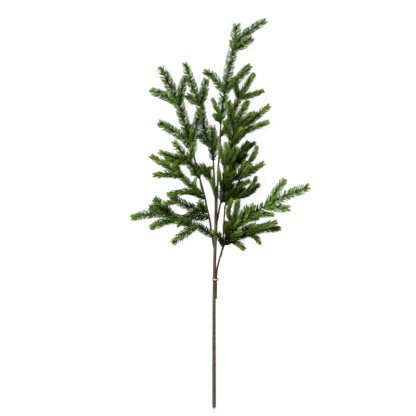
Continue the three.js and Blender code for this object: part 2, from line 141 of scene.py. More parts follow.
def tube(points, radii, angles):
    """A closed skin round a curve: at each point a ring, at the radius given for each angle, the ends closed
    by a fan from the curve's end points. Gives its vertices and its faces, as four corners each, a fan's
    triangles with their last corner twice."""
    _, right, up = frame_along(points)
    rings, sides = radii.shape
    out = np.cos(angles)[..., None] * right[:, None] - np.sin(angles)[..., None] * up[:, None]
    vertices = np.vstack([(points[:, None] + radii[..., None] * out).reshape(-1, 3), points[[0, -1]]])
    index = np.arange(rings * sides).reshape(rings, sides)
    after = np.roll(index, -1, axis=1)
    walls = np.stack([index[:-1], after[:-1], after[1:], index[1:]], axis=-1).reshape(-1, 4)
    first, last = np.full(sides, rings * sides), np.full(sides, rings * sides + 1)
    base = np.stack([after[0], index[0], first, first], axis=-1)
    end = np.stack([index[-1], after[-1], last, last], axis=-1)
    return vertices, np.vstack([walls, base, end])


def make_piece(name, vertices, faces, material, smooth=True, **values):
    """A mesh object from vertices in millimetres and faces of four corners, with a number at each vertex for
    each named value. A face whose last two corners are the same is a triangle."""
    triangle = faces[:, 2] == faces[:, 3]
    counts = np.where(triangle, 3, 4)
    keep = np.ones(faces.shape, bool)
    keep[triangle, 3] = False
    corners = faces[keep]
    mesh = bpy.data.meshes.new(name)
    mesh.vertices.add(len(vertices))
    mesh.vertices.foreach_set("co", (vertices / METRE).astype(np.float32).ravel())
    mesh.loops.add(len(corners))
    mesh.loops.foreach_set("vertex_index", corners.astype(np.int32))
    mesh.polygons.add(len(faces))
    mesh.polygons.foreach_set("loop_start", np.r_[0, np.cumsum(counts)[:-1]].astype(np.int32))
    mesh.polygons.foreach_set("use_smooth", np.full(len(faces), smooth))
    for value, numbers in values.items():
        layer = mesh.attributes.new(value, "FLOAT", "POINT")
        layer.data.foreach_set("value", numbers.astype(np.float32))
    mesh.update(calc_edges=True)
    mesh.validate()
    mesh.materials.append(material)
    piece = bpy.data.objects.new(name, mesh)
    bpy.context.collection.objects.link(piece)
    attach(piece, "root")
    return piece


def add_node(tree, kind, inputs=(), **settings):
    """A shader node with its settings made, and each input set to a value or linked from a socket."""
    node = tree.nodes.new(kind)
    for setting, value in settings.items():
        setattr(node, setting, value)
    for socket, value in dict(inputs).items():
        if isinstance(value, bpy.types.NodeSocket):
            tree.links.new(value, node.inputs[socket])
        else:
            node.inputs[socket].default_value = value
    return node


def make_material(name, roughness):
    """A new material with a Principled shader of the given roughness, and its node tree and shader."""
    material = bpy.data.materials.new(name)
    material.use_nodes = True
    shader = material.node_tree.nodes["Principled BSDF"]
    shader.inputs["Roughness"].default_value = roughness
    return material, material.node_tree, shader


def read_value(tree, name):
    """The number that a mesh holds at each vertex under a name."""
    return add_node(tree, "ShaderNodeAttribute", attribute_name=name).outputs["Fac"]


def mix_colours(tree, share, first, second):
    """A colour that goes from the first to the second as the share goes from 0 to 1."""
    return add_node(tree, "ShaderNodeMix", {0: share, 6: first, 7: second}, data_type="RGBA").outputs[2]


def mottle_group():
    """Patches of two sizes: broad noise plus fine noise, spread round the middle by a contrast. Puts out the
    patches and a height for bumps."""
    group = bpy.data.node_groups.new("Mottle", "ShaderNodeTree")
    for name in ("Scale", "Contrast"):
        group.interface.new_socket(name, in_out="INPUT", socket_type="NodeSocketFloat")
    for name in ("Patches", "Height"):
        group.interface.new_socket(name, in_out="OUTPUT", socket_type="NodeSocketFloat")
    given = group.nodes.new("NodeGroupInput").outputs
    place = add_node(group, "ShaderNodeTexCoord").outputs["Object"]
    finer = add_node(group, "ShaderNodeMath", {0: given["Scale"], 1: 6.0}, operation="MULTIPLY").outputs[0]
    broad = add_node(group, "ShaderNodeTexNoise", {"Vector": place, "Scale": given["Scale"], "Detail": 3.0})
    fine = add_node(group, "ShaderNodeTexNoise", {"Vector": place, "Scale": finer, "Detail": 2.0})
    both = add_node(group, "ShaderNodeMath", {0: broad.outputs[0], 1: fine.outputs[0]}, operation="ADD")
    centred = add_node(group, "ShaderNodeMath", {0: both.outputs[0], 1: 1.0}, operation="SUBTRACT")
    spread = add_node(
        group,
        "ShaderNodeMath",
        {0: centred.outputs[0], 1: given["Contrast"], 2: 0.5},
        operation="MULTIPLY_ADD",
        use_clamp=True,
    )
    done = group.nodes.new("NodeGroupOutput")
    group.links.new(spread.outputs[0], done.inputs["Patches"])
    group.links.new(fine.outputs[0], done.inputs["Height"])
    return group


MOTTLE = mottle_group()


def paper_tape():
    """Brown crepe tape: mottled, with painted shade along the edge of each turn where it laps over the next,
    darker on the thin stems, and with the bare wire nearly black."""
    material, tree, shader = make_material("brown paper tape", 0.85)
    shader.inputs["Specular IOR Level"].default_value = 0.1
    mottle = add_node(tree, "ShaderNodeGroup", node_tree=MOTTLE)
    mottle.inputs["Scale"].default_value = 160  # to the metre
    mottle.inputs["Contrast"].default_value = 2.2
    tape = mix_colours(tree, mottle.outputs["Patches"], TAPE_DARK, TAPE_LIGHT)
    # Painted shade along each turn's edge, where it laps over the next turn.
    step_shade = add_node(
        tree, "ShaderNodeMapRange", {"Value": read_value(tree, "turn"), "From Min": 0.86, "From Max": 1.0}
    )
    step_shaded = mix_colours(tree, step_shade.outputs["Result"], tape, TAPE_STEP_SHADE)
    thinned = mix_colours(tree, read_value(tree, "thin"), step_shaded, THIN_TAPE)
    colour = mix_colours(tree, read_value(tree, "bare"), thinned, CORE_COLOUR)
    tree.links.new(colour, shader.inputs["Base Color"])
    bump = add_node(
        tree, "ShaderNodeBump", {"Height": mottle.outputs["Height"], "Strength": 0.5, "Distance": 0.0006}
    )
    tree.links.new(bump.outputs["Normal"], shader.inputs["Normal"])
    return material


TAPE = paper_tape()
for name, base_radius, end_radius, route in STEMS:
    thin = name != "main_stem"
    points, places = curve_through([ROOTS[name], *route] if name in ROOTS else route, STEM_SPACING)
    angles = np.broadcast_to(np.linspace(0, 2 * np.pi, STEM_SIDES, endpoint=False), (len(points), STEM_SIDES))
    turn = (places[:, None] / (TAPE_PITCH * base_radius) + angles / (2 * np.pi)) % 1
    plain = np.interp(places, [0, places[-1]], [base_radius, end_radius])
    radii = (plain[:, None] + TAPE_BUILD * thin) * (1 - TAPE_STEP + TAPE_STEP * turn)
    bare = np.zeros(radii.shape)
    if not thin:
        bare[places < CORE_STUB] = 1
        radii = np.where(bare == 1, CORE_RADIUS, radii)
    vertices, faces = tube(points, radii, angles)
    stem = make_piece(
        name + "_wrapped",
        vertices,
        faces,
        TAPE,
        turn=np.r_[turn.ravel(), 0, 0],
        bare=np.r_[bare.ravel(), bare[0, 0], 0],
        thin=np.full(len(vertices), THIN_SHARE * thin),
    )
    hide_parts(name)

# The collar and the tie: where the low stem is bound to the main one, a sleeve of the same tape swells over
# both, and a pale moulded plastic band is pushed on over its middle.
TIE_AT = [215.1, 279.4, 34.6]
TIE_RISE = 0.1  # slope of the stems there
RING_SIDES = 56  # round the stems
TIE_RADIUS, TIE_HALF_THICKNESS, TIE_HALF_WIDTH = 8.15, 0.6, 1.25  # its radius is to the band's middle
TIE_SECTION = 24  # points round the band's section
TIE_ROUNDING = 0.6  # 1 for an oval section, less for a squarer one
TIE_PALE = (0.62, 0.62, 0.59, 1)
TIE_GREY = (0.36, 0.35, 0.33, 1)
COLLAR_BORE = 6.85  # inner radius
COLLAR_PROFILE = [[-3, 6.95], [-1.5, 7.25], [1.5, 7.25], [3, 6.95]]  # along the stem, radius
COLLAR_RINGS = 34  # along the sleeve
CRINKLE_DEPTH, CRINKLE_RATE = 0.1, 1.7  # of the tape: its depth, and radians to the millimetre


def ring_round_stems(along, radius):
    """A closed ring round both stems: a closed profile of distances along them and radii, turned right round
    their line, which rises as it goes in +Y."""
    angles = np.linspace(0, 2 * np.pi, RING_SIDES, endpoint=False)[:, None]
    ahead = unit(np.array([0, 1, TIE_RISE]))
    upward = np.cross([1, 0, 0], ahead)
    out = np.cos(angles) * np.array([1, 0, 0]) + np.sin(angles) * upward
    vertices = from_grid(TIE_AT) + along[None, :, None] * ahead + radius[None, :, None] * out[:, None]
    index = np.arange(RING_SIDES * len(along)).reshape(RING_SIDES, len(along))
    turned, stepped = np.roll(index, -1, axis=0), np.roll(index, -1, axis=1)
    both = np.roll(turned, -1, axis=1)
    faces = np.stack([index, turned, both, stepped], axis=-1).reshape(-1, 4)
    return vertices.reshape(-1, 3), faces


def pale_plastic():
    """Off-white plastic, greyed in soft patches by handling, with a low sheen."""
    material, tree, shader = make_material("pale plastic band", 0.38)
    mottle = add_node(tree, "ShaderNodeGroup", node_tree=MOTTLE)
    mottle.inputs["Scale"].default_value = 90
    mottle.inputs["Contrast"].default_value = 1.6
    colour = mix_colours(tree, mottle.outputs["Patches"], TIE_GREY, TIE_PALE)
    tree.links.new(colour, shader.inputs["Base Color"])
    return material


around = np.linspace(0, 2 * np.pi, TIE_SECTION, endpoint=False)
squared = np.sign(np.cos(around)) * np.abs(np.cos(around)) ** TIE_ROUNDING
vertices, faces = ring_round_stems(TIE_HALF_WIDTH * squared, TIE_RADIUS + TIE_HALF_THICKNESS * np.sin(around))
tie = make_piece("tie_band", vertices, faces, pale_plastic())
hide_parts("tie")

knots = np.array(COLLAR_PROFILE)
outside = np.linspace(knots[0, 0], knots[-1, 0], COLLAR_RINGS)
crinkle = CRINKLE_DEPTH * np.abs(np.sin(outside * CRINKLE_RATE))
along = np.r_[outside[::-1], outside]
radius = np.r_[(np.interp(outside, *knots.T) - crinkle)[::-1], np.full(len(outside), COLLAR_BORE)]
vertices, faces = ring_round_stems(along, radius)
flat = np.zeros(len(vertices))
collar = make_piece("collar_tape", vertices, faces, TAPE, turn=flat, bare=flat, thin=flat)
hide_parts("collar")

# The sprigs: each is a forked twig with its needles, moulded in one piece from soft green plastic and pushed
# onto the end or the side of a stem. The needles carry painted shade at their roots and are palest at their
# tips.
NEEDLE_SEED = 7
NEEDLES_PER_MM = 2.2  # of a twig's length
WHORL_STEP = 4.0  # the needles stand in rings, this far apart along the twig
WHORL_SPREAD = 0.5  # how far they stray from their rings
NEEDLE_HALF_WIDTH = 0.92
NEEDLE_FLATNESS = 0.6  # thickness as a share of the width
NEEDLE_SIDES = 4
NEEDLE_SHORTEST, NEEDLE_LONGEST = 0.8, 1.08  # as a share of what gives the sprig its reach
NEEDLE_PLACES = (0.0, 0.4, 0.82, 1.0)  # along a needle
NEEDLE_WIDTHS = (1.9, 1.25, 0.85)  # there, as a share of its half width, before the point
NEEDLE_BEND = 0.1  # how far a needle's tip is bent forwards, as a share of its length
TWIG_RADIUS = 1.9
TWIG_TAPER = 0.5  # radius at its end, as a share of that at its base
TWIG_SIDES = 7
TWIG_SPACING = 2.5  # between the rings of a twig's skin
ROOT_DEPTH = 0.7  # where a needle starts, as a share of the twig's radius
BARE_BASE = 3.0  # length of a twig that has no needles
SHORT_BASE, SHORT_SHARE = 15.0, 0.72  # over this length the needles grow from this share to their full size
TIP_NEEDLES = 6.0  # how far the needles reach past the twig's end
TIP_MARGIN = 1.0  # how far past that a needle may reach
CLOSING_LENGTH, CLOSED_SHARE = 18.0, 0.5  # towards the end the needles close to this share of their tilt
TILT_SPREAD = 0.1  # as a share of the tilt
NARROW_REACH, NARROW_TILT = 10.5, math.radians(38)  # the needles of a slim twig lie along it
OPEN_REACH, OPEN_TILT = 15.0, math.radians(59)  # and those of a full one stand out
COMBING = 0.8  # how far the needles of a full twig crowd to its two sides
SIDE_TWIG_START = 0.2  # how far out a side twig's base counts as being, for its painted light and shade
PAINTED_LIGHT_POWER = 1.4  # the painted light comes in towards the ends
TURN = math.pi * (3 - math.sqrt(5))  # from one needle to the next round a twig
TURN_SPREAD = 0.25  # radians
# Painted shade where the needles leave the twig, deep inside each sprig.
PAINTED_ROOT_SHADE = (0.004, 0.013, 0.005, 1)
BLUE_GREEN, BLUE_TIP = (0.084, 0.178, 0.026, 1), (0.148, 0.232, 0.046, 1)
YELLOW_GREEN, YELLOW_TIP = (0.108, 0.186, 0.018, 1), (0.188, 0.250, 0.036, 1)
# The twig's own dark green, deepened with painted shade.
TWIG_GREEN_AND_SHADE = (0.005, 0.015, 0.005, 1)

# Painted light and shade of each sprig, from its base to the ends of its twigs: painted shade towards the
# base and on the sprigs that hang behind the others, painted light towards the ends.
PAINTED_LIGHT_BY_SPRIG = {
    "sprig_top": (0.75, 1.1),
    "sprig_leader_left": (0.4, 0.95),
    "sprig_leader_right": (0.25, 1.0),
    "sprig_right_upper": (0.2, 1.15),
    "sprig_front": (0.2, 1.3),
    "sprig_front_low": (0.12, 1.15),
    "sprig_right_mid": (0.12, 1.05),
    "sprig_right_tip": (0.12, 1.2),
    "sprig_right_dark": (0.05, 0.75),
    "sprig_inner_dark": (0.06, 0.2),
    "sprig_centre_up": (0.25, 1.05),
    "sprig_left_top": (0.65, 1.0),
    "sprig_left_back": (0.65, 1.0),
    "sprig_left_inner": (0.6, 1.05),
    "sprig_left_front": (0.65, 1.45),
    "sprig_left_mid": (0.5, 1.3),
    "sprig_left_arc": (0.32, 1.2),
    "sprig_left_low": (0.25, 1.05),
    "sprig_left_outer": (0.25, 1.25),
    "sprig_left_bottom": (0.25, 1.2),
    "sprig_right_bottom": (0.06, 1.3),
    "sprig_right_outer": (1.15, 1.55),
    "sprig_right_inner": (0.12, 1.05),
    "sprig_cross": (0.25, 1.2),
    "sprig_centre_low": (0.4, 1.05),
    "sprig_centre_left": (0.3, 0.9),
}

# Each sprig: name, tone from 0 (blue green) to 1 (yellow green), and its twigs. The first twig grows from a
# stem and the others from it. Each twig: reach of its needles from the axis, and the axis points.
SPRIGS = [
    ["sprig_top", 0.35, [
        [16.5, [[221, 121, 52], [222, 110, 52.5], [223.5, 99, 53], [226, 86, 55], [229, 70, 57],
            [232.6, 52, 59], [235, 38, 61], [236.8, 23, 62]]],
        [14, [[233.5, 48, 59], [241, 38, 66], [252, 29, 70], [266.5, 20.2, 72]]],
        [13.5, [[233, 50, 59], [242.5, 45.5, 70], [252.5, 38, 80]]],
        [14, [[225.3, 93, 54], [219.5, 85.5, 52], [212, 75.5, 50], [203, 71, 46]]],
        [13.5, [[226, 90, 54], [235.5, 81, 38], [243, 73, 20], [250.5, 65, 3]]],
    ]],
    ["sprig_leader_left", 0.5, [
        [9.5, [[220.6, 125, 51.5], [218, 112, 46], [212, 98.5, 41]]],
        [8, [[220, 122, 50], [216.5, 119, 56], [213.5, 113.5, 61]]],
    ]],
    ["sprig_leader_right", 0.7, [
        [11.5, [[220.3, 137, 51], [225, 130, 46], [231, 117, 41], [236, 105, 39], [240, 97, 39],
            [246.5, 86, 38], [254.5, 73, 34]]],
        [11.5, [[238.6, 99.5, 39], [236.5, 90, 48], [232.5, 77.5, 56]]],
        [11, [[239, 98.5, 39], [250, 95.5, 40], [264, 90.5, 40]]],
    ]],
    ["sprig_right_upper", 0.75, [
        [13.5, [[228.5, 159.5, 61.5], [231, 150, 64], [233, 138, 66], [236, 127, 70], [240, 116, 80],
            [248, 100.5, 90]]],
        [13, [[234, 133, 68], [231.5, 117, 76], [228, 100.5, 84]]],
        [12, [[235.5, 129, 69], [246, 119.5, 73], [255.5, 112, 78]]],
        [12, [[234.5, 132, 68], [247, 124, 62], [258, 115, 58], [270, 105, 56]]],
        [11, [[233.5, 136, 66], [247, 130.5, 52], [258, 126, 45], [269, 121.5, 42]]],
        [9.5, [[232, 144, 65], [238, 139.5, 54], [244.5, 133.5, 46]]],
        [12, [[232.3, 142, 65.3], [227.5, 131, 72], [224.5, 120, 76]]],
        [12, [[231.5, 148, 64.5], [237, 139, 74], [242.5, 128, 80]]],
    ]],
    ["sprig_front", 0.75, [
        [12, [[223.4, 183, 56.5], [225.3, 175, 70], [226.6, 166, 81], [226.8, 155, 90], [226.2, 142.5, 96]]],
        [11.5, [[226.2, 169, 78], [222.5, 158, 86], [219, 145.5, 91]]],
        [13, [[226.6, 167, 80], [231.5, 158, 93], [236.8, 146.5, 101]]],
    ]],
    ["sprig_front_low", 0.7, [
        [12, [[222.4, 191, 55], [226, 185, 70], [228, 176.5, 84], [228.5, 166.5, 94]]],
        [8, [[223.2, 189.5, 60], [220, 180, 64], [218.3, 167, 66]]],
        [10, [[224.5, 188, 63], [230, 180, 72], [235, 171, 78]]],
    ]],
    ["sprig_right_mid", 0.45, [
        [11, [[224.3, 176.5, 58], [231, 169, 48], [239, 163, 40], [247, 163, 38], [253, 156.5, 40],
            [257.5, 146, 42]]],
        [10, [[233, 167, 46], [241, 150.5, 36], [248.5, 141.5, 32]]],
        [10, [[236, 165, 43], [246, 149.5, 18], [255, 142.5, 3]]],
        [13.5, [[235, 165.5, 44], [240, 158, 24], [247, 153, 3]]],
        [12, [[229, 171.3, 50.5], [233, 161, 44], [236.5, 151.5, 40]]],
        [11, [[237, 164.5, 41.5], [242, 158.5, 50], [245.5, 152.5, 55]]],
    ]],
    ["sprig_right_tip", 0.65, [
        [11, [[223, 186.5, 56], [231, 180, 60], [239, 177, 62], [247, 174, 62], [256, 168.5, 61],
            [264.5, 162.5, 60]]],
        [13.5, [[236, 178, 61.5], [242, 170, 72], [246.5, 161, 79]]],
        [11, [[229, 181.5, 59], [233, 172, 64], [237, 163.5, 67]]],
        [11, [[238, 177.3, 61.8], [246, 172, 69], [252, 165, 72]]],
    ]],
    ["sprig_right_dark", 0.6, [
        [9.5, [[224.9, 206, 50], [230, 200, 46], [238, 197, 42], [247.5, 191, 42], [253, 184, 44],
            [256.5, 176.5, 46]]],
        [9.5, [[237, 197.5, 42], [248, 194, 32], [260, 184, 28]]],
        [11.5, [[231, 199.5, 45.5], [239.5, 187, 44], [250, 180.5, 42]]],
        [14, [[233, 198.5, 44.5], [239, 193, 24], [244, 187, 3.5]]],
        [12, [[228, 202.5, 48], [230, 192, 53], [233, 183, 56]]],
        [12, [[230, 200, 46], [236, 190, 36], [241, 181, 28]]],
        [11, [[227, 203.8, 49], [226.5, 194, 44], [228, 184, 40]]],
    ]],
    ["sprig_inner_dark", 0.3, [
        [14, [[220.2, 204, 50.5], [225, 196.5, 40], [231, 187, 30]]],
        [13, [[221.2, 202.3, 48], [222, 194, 42], [224, 184, 36]]],
        [13, [[223.5, 199, 43.5], [229, 195, 34], [236, 190, 26]]],
    ]],
    ["sprig_centre_up", 0.25, [
        [14, [[213.4, 162, 44], [212.8, 153, 44], [211.5, 145.5, 43.5], [206.5, 137, 42], [203.5, 122, 43],
            [200.6, 107.5, 45], [199, 102, 45], [193, 87, 49], [184.5, 62, 53]]],
        [14, [[200.1, 105.4, 45], [203.5, 94, 45.5], [206.5, 78, 46]]],
        [13, [[199.6, 104, 45], [193, 100.5, 37], [186, 94.5, 31]]],
        [14, [[212.5, 150.5, 44], [213, 138, 51], [212.3, 125.5, 56]]],
        [13.5, [[211.6, 146, 43.5], [205, 140.5, 33], [198.5, 133.5, 26]]],
        [9.5, [[212.8, 152.5, 44], [216, 144, 54], [217.5, 136.5, 60]]],
    ]],
    ["sprig_left_top", 0.4, [
        [17, [[190.8, 143, 42], [187, 130, 43], [182.5, 117, 44], [178.8, 104, 46], [171, 88, 44],
            [160, 66.5, 42]]],
        [15, [[179, 105, 46], [167, 97, 28], [150.5, 90, 3]]],
        [14, [[179.2, 106, 46], [181.5, 91, 56], [185.5, 75.5, 63]]],
    ]],
    ["sprig_left_back", 0.4, [
        [15.5, [[192.6, 150.5, 43], [184.5, 138.5, 33], [173, 130.5, 20], [158, 122, 3.5]]],
        [13, [[189, 145, 38.5], [188, 135, 30], [189.5, 124, 26]]],
    ]],
    ["sprig_left_inner", 0.4, [
        [14, [[191.8, 147, 44.5], [193.5, 138, 50], [196.5, 126, 56], [199.5, 109.5, 60]]],
    ]],
    ["sprig_left_front", 0.75, [
        [14, [[200, 179, 57], [195, 171, 64], [190, 163.5, 70], [186.8, 159, 73], [180.5, 150.5, 77],
            [173, 140.5, 80]]],
        [13, [[189.2, 162.5, 71], [191.5, 153, 77], [195, 142.5, 80]]],
        [12.5, [[188, 161, 72], [175, 157.5, 84], [166, 154.5, 89], [158.5, 151.5, 92]]],
        [12, [[189, 162.5, 71], [177, 162, 66], [164.5, 160, 62]]],
    ]],
    ["sprig_left_mid", 0.65, [
        [12, [[204, 194, 52.5], [196, 190, 47], [188, 183, 44], [180.5, 175.5, 42], [167, 166, 39],
            [149.5, 155, 36]]],
        [12, [[182, 177, 42.5], [168, 174.5, 47], [152.5, 175, 50]]],
        [11, [[181, 176, 42], [177.5, 169.5, 30], [175, 162.5, 24]]],
        [9, [[195.5, 189.6, 46.8], [194.8, 184, 38], [195.5, 178.5, 32]]],
        [10, [[182, 177, 42.5], [179.5, 174.5, 54], [176.5, 173, 62]]],
    ]],
    ["sprig_left_arc", 0.4, [
        [11.5, [[205.3, 199.5, 51], [198, 195, 57], [189, 192, 63], [178, 192.5, 67], [167, 195, 68]]],
    ]],
    ["sprig_left_low", 0.3, [
        [13.5, [[208.1, 212.5, 47.5], [200, 210.5, 44], [188, 206, 44], [178, 201, 46], [169, 193, 50]]],
        [14, [[204, 211.8, 45.5], [202.5, 207, 58], [199, 201, 66]]],
        [13.5, [[199, 210.3, 43.7], [188, 217, 44], [176, 225.5, 44]]],
        [12, [[180, 202.2, 45.5], [172.5, 202, 38], [165, 204, 32]]],
    ]],
    ["sprig_left_outer", 0.35, [
        [14, [[209.4, 218.5, 45.5], [203, 217, 38], [195, 216.5, 31], [186, 218.5, 26], [177, 218, 22],
            [168, 214, 19], [157, 213.5, 15], [145, 214.5, 11], [130, 218, 4]]],
        [15.5, [[172, 215.8, 20.5], [163, 206.5, 32], [154, 197.5, 40]]],
        [13.5, [[167, 213.8, 18.5], [157.5, 208.5, 28], [148.5, 207.5, 34]]],
        [13.5, [[180, 218.4, 23], [165, 221.5, 13], [149.5, 228, 4]]],
        [14, [[169, 214.3, 19.5], [160, 208, 36], [153, 203, 46]]],
    ]],
    ["sprig_left_bottom", 0.4, [
        [14, [[215.4, 237, 42], [205, 230.5, 34], [197, 226.5, 28], [186, 232.5, 18], [171.5, 243.5, 4]]],
        [13, [[198.5, 227, 29], [190, 224.5, 18], [180, 222, 4]]],
    ]],
    ["sprig_right_bottom", 0.65, [
        [11.5, [[224, 245.2, 42], [231, 240.5, 37], [241, 236.5, 32], [251, 232.5, 27], [265, 229.5, 15],
            [280.5, 228.5, 4]]],
        [11, [[230, 241, 37.5], [238.5, 244, 29], [244.5, 250, 22]]],
        [10, [[247, 234.3, 29], [255, 237, 17], [260, 244, 4]]],
        [11, [[245, 235, 30], [261, 227, 36], [277, 222, 40]]],
        [12, [[236, 238.6, 34], [245, 230, 38], [256, 224.5, 40]]],
        [11, [[240, 236.8, 32.5], [249, 229.5, 24], [260, 226, 16]]],
        [12, [[228, 242.5, 39], [234, 236.5, 46], [242, 231, 52]]],
    ]],
    ["sprig_right_outer", 0.3, [
        [16, [[227.2, 238.5, 43.5], [235, 229, 52], [245, 218, 60], [257, 210.5, 64], [270, 204, 66],
            [285, 196, 69], [310, 186.5, 71]]],
        [14, [[266, 206, 65.3], [275, 193, 61], [285, 178.5, 56]]],
        [13, [[264, 207, 65], [278, 208, 59], [290, 208.5, 54]]],
        [11, [[250, 214.5, 62], [262, 214.5, 52], [274, 214.5, 44]]],
        [14, [[241, 222, 57], [244, 214, 74], [248, 206, 84]]],
        [13, [[248, 215.8, 61.3], [251, 209.5, 72], [254.5, 204.5, 78]]],
        [12, [[238.5, 225, 55], [248, 219.5, 50], [259, 217.5, 46]]],
        [12, [[232, 232.5, 49], [238, 222, 42], [243, 212.5, 36]]],
    ]],
    ["sprig_right_inner", 0.65, [
        [11.5, [[225.6, 241.5, 43], [228.5, 233, 54], [232, 223, 61], [236, 212, 68], [238, 199.5, 74]]],
        [9.5, [[231.5, 224.5, 60], [228.5, 211, 60], [232, 198.5, 62]]],
        [12, [[227.4, 236.3, 50], [225.9, 229.5, 44], [226.5, 221, 38]]],
        [11, [[229.5, 230.3, 56], [234.5, 226, 62], [240, 220, 66]]],
    ]],
    ["sprig_cross", 0.4, [
        [12, [[223.3, 247, 42], [221.5, 240.5, 56], [218, 235, 63], [211.5, 231.5, 67]]],
    ]],
    ["sprig_centre_low", 0.7, [
        [9.5, [[217, 199.5, 51], [214.9, 191, 58], [211, 180.5, 63]]],
    ]],
    ["sprig_centre_left", 0.45, [
        [13, [[214.5, 184, 45.3], [209.5, 177.5, 39], [203, 170, 33], [195, 166, 28]]],
        [11, [[208, 175.8, 37.5], [209.5, 170.5, 43], [212.5, 167, 48]]],
        [12, [[210, 178, 39.5], [205.5, 170.5, 46], [201, 164.5, 50]]],
        [12, [[205, 172.3, 35.5], [199, 172.5, 30], [191, 173.5, 24]]],
    ]],
]


def needles_along(points, places, reach, random):
    """The needles of one twig, as vertices, faces, and three numbers at each vertex: how far along its needle
    it is, a number drawn for that needle, and how far along the twig the needle stands. The needles stand in
    loose rings. Needle k stands k golden angles round the twig, crowded towards its two sides where the
    needles stand out. Its middle line leaves the twig at a tilt, and bends forwards with the square of the
    way along it. Its section is a rhomb, and it ends in a short point. No needle goes through the table."""
    ahead, right, up = frame_along(points)
    length = places[-1]
    count = round((length - BARE_BASE) * NEEDLES_PER_MM)
    share = (np.arange(count) + random.random(count)) / count
    start = BARE_BASE + share * (length - TIP_NEEDLES - BARE_BASE)
    start = np.round(start / WHORL_STEP) * WHORL_STEP + random.normal(0, WHORL_SPREAD, count)
    start = np.clip(start, BARE_BASE, length - TIP_NEEDLES)
    root = read_off(points, places, start)
    forward, sideways, upward = (unit(read_off(way, places, start)) for way in (ahead, right, up))

    openness = np.clip((reach - NARROW_REACH) / (OPEN_REACH - NARROW_REACH), 0, 1)
    tilt = NARROW_TILT + openness * (OPEN_TILT - NARROW_TILT)
    full = (reach - TWIG_RADIUS) / math.sin(tilt)
    closing = np.clip((length - start - TIP_NEEDLES) / CLOSING_LENGTH, 0, 1)
    tilt = tilt * (CLOSED_SHARE + (1 - CLOSED_SHARE) * closing) * random.normal(1, TILT_SPREAD, count)
    grown = SHORT_SHARE + (1 - SHORT_SHARE) * np.clip(start / SHORT_BASE, 0, 1)
    size = full * random.uniform(NEEDLE_SHORTEST, NEEDLE_LONGEST, count) * grown
    size = np.minimum(size, (length + TIP_MARGIN - start) / np.cos(tilt))

    turn = np.arange(count) * TURN + random.normal(0, TURN_SPREAD, count)
    turn = turn - COMBING * openness * np.sin(2 * turn)
    out = np.cos(turn)[:, None] * sideways + np.sin(turn)[:, None] * upward
    heading = np.cos(tilt)[:, None] * forward + np.sin(tilt)[:, None] * out
    bend = NEEDLE_BEND * size[:, None] * (forward - out)
    root = root + ROOT_DEPTH * TWIG_RADIUS * out
    t = np.array(NEEDLE_PLACES)[None, :, None]
    line = root[:, None] + t * (size[:, None] * heading)[:, None] + t**2 * bend[:, None]
    line[..., 2] = np.maximum(line[..., 2], NEEDLE_HALF_WIDTH)

    across = unit(np.cross(forward, heading))
    depth = np.cross(heading, across) * NEEDLE_FLATNESS
    rhomb = np.stack([across, depth, -across, -depth], axis=1) * NEEDLE_HALF_WIDTH
    widths = np.array(NEEDLE_WIDTHS)[None, :, None, None]
    tip = NEEDLE_SIDES * len(NEEDLE_WIDTHS)
    rings = (line[:, :-1, None] + widths * rhomb[:, None]).reshape(count, tip, 3)
    vertices = np.concatenate([rings, line[:, -1:]], axis=1)
    side = np.arange(NEEDLE_SIDES)
    after = (side + 1) % NEEDLE_SIDES
    wall = np.stack([side, after, after + NEEDLE_SIDES, side + NEEDLE_SIDES], axis=1)
    last = tip - NEEDLE_SIDES
    walls = [wall + first for first in range(0, last, NEEDLE_SIDES)]
    top = np.full(NEEDLE_SIDES, tip)
    point = np.stack([side + last, after + last, top, top], axis=1)
    pattern = np.vstack([side[None, ::-1], *walls, point])
    faces = np.arange(count)[:, None, None] * (tip + 1) + pattern
    along = np.tile(np.r_[np.repeat(NEEDLE_PLACES[:-1], NEEDLE_SIDES), NEEDLE_PLACES[-1]], count)
    vary = np.repeat(random.normal(0, 1, count), tip + 1)
    outward = np.repeat(share, tip + 1)
    return vertices.reshape(-1, 3), faces.reshape(-1, 4), along, vary, outward


def green_plastic():
    """Moulded needle plastic: painted shade at a needle's root and pale at its tip, from blue green to yellow
    green by sprig, each needle a little lighter or darker than the next, scaled by its sprig's painted light
    and shade, and nearly dull."""
    material, tree, shader = make_material("green needle plastic", 0.7)
    shader.inputs["Specular IOR Level"].default_value = 0.05
    along, tone = read_value(tree, "along"), read_value(tree, "tone")
    body = mix_colours(tree, tone, BLUE_GREEN, YELLOW_GREEN)
    tip = mix_colours(tree, tone, BLUE_TIP, YELLOW_TIP)
    root_shade_fade = add_node(tree, "ShaderNodeMapRange", {"Value": along, "From Min": 0.08, "From Max": 0.4})
    tipped = add_node(tree, "ShaderNodeMapRange", {"Value": along, "From Min": 0.5, "From Max": 1.0})
    # Painted shade at each needle's root, fading into its body colour.
    colour = mix_colours(tree, root_shade_fade.outputs["Result"], PAINTED_ROOT_SHADE, body)
    colour = mix_colours(tree, tipped.outputs["Result"], colour, tip)
    # The twig: its own dark green, deepened with painted shade.
    colour = mix_colours(tree, read_value(tree, "twig"), colour, TWIG_GREEN_AND_SHADE)
    vary, light = read_value(tree, "vary"), read_value(tree, "light")
    spread = {"From Min": -2.0, "From Max": 2.0, "To Min": 0.25, "To Max": 1.75}
    lighter = add_node(tree, "ShaderNodeMapRange", {"Value": vary, **spread}).outputs["Result"]
    # The sprig's painted light and shade scales the needle colour.
    strength = add_node(tree, "ShaderNodeMath", {0: lighter, 1: light}, operation="MULTIPLY").outputs[0]
    scaled = add_node(tree, "ShaderNodeVectorMath", {0: colour, "Scale": strength}, operation="SCALE")
    tree.links.new(scaled.outputs["Vector"], shader.inputs["Base Color"])
    return material


